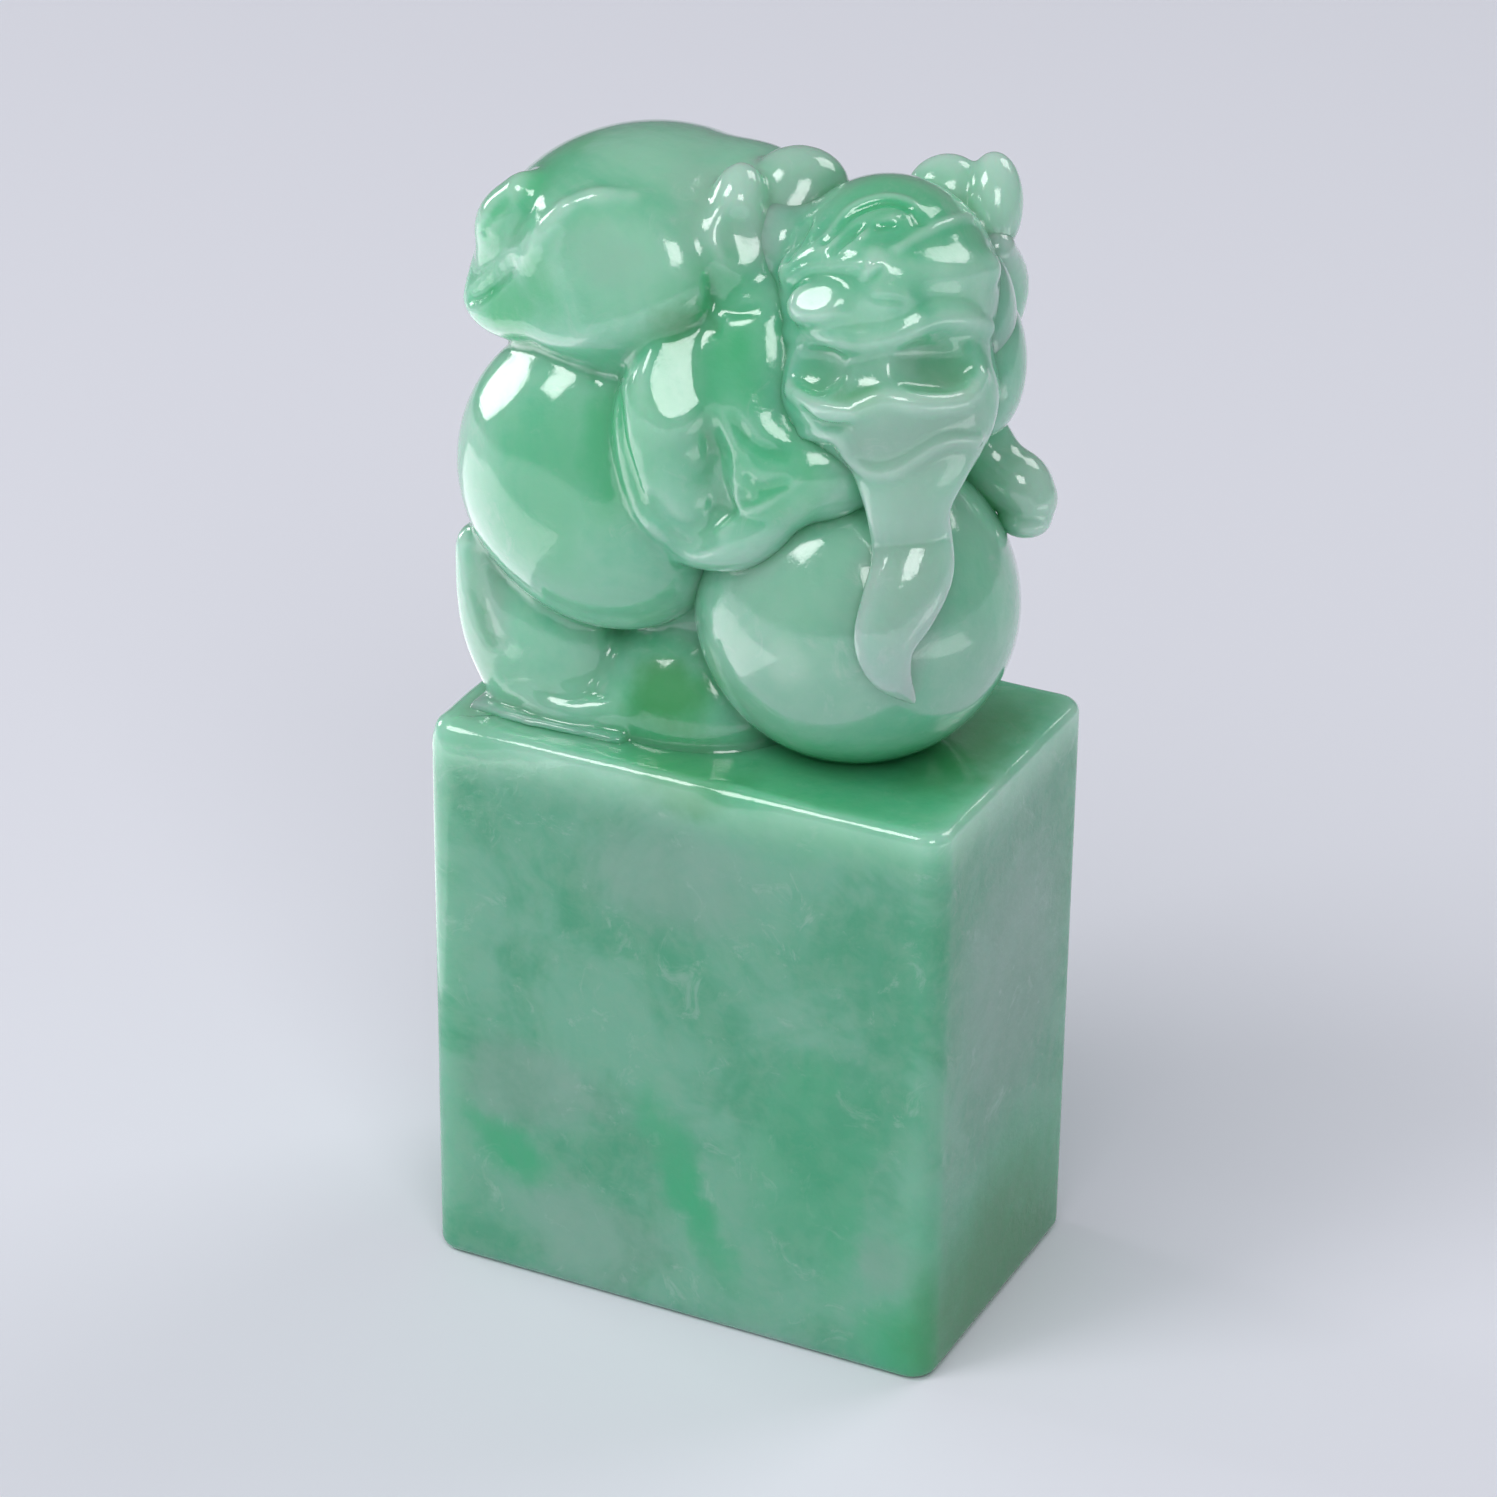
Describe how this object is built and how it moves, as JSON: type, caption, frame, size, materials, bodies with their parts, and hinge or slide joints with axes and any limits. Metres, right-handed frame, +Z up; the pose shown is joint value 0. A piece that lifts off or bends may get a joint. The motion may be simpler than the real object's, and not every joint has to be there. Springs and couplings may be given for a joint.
{
  "type": "seal stamp",
  "caption": "Jade seal stamp: a rectangular block with a blank flat sealing face, and a knop carved as a crouching guardian beast that hugs a ball.",
  "frame": {"origin": "middle of the flat sealing face, at the bottom of the block", "axes": "+Z up from the sealing face to the knop, +X toward the ball and head end of the wide face, -Y the front that the beast's near side shows"},
  "size_m": [0.022, 0.0138, 0.0466],
  "materials": {
    "jade": "polished translucent jadeite, icy green with vivid green clouds and veins"
  },
  "bodies": {
    "root": {"seal_block": "jade", "ball": "jade", "beard": "jade", "head": "jade", "near_ear": "jade", "far_ear": "jade", "front_cheek_fin": "jade", "rear_cheek_fin": "jade", "forearm_tuft": "jade", "neck_fold": "jade", "neck_collar": "jade", "near_forearm": "jade", "near_foreleg": "jade", "far_forepaw": "jade", "far_foreleg": "jade", "near_hind_foot": "jade", "far_hind_foot": "jade", "tail_curl": "jade", "back": "jade", "near_haunch": "jade", "far_haunch": "jade", "near_hock": "jade", "far_hock": "jade", "mane_lock_1": "jade", "mane_lock_2": "jade", "mane_lock_3": "jade", "trunk": "jade"}
  },
  "joints": []
}
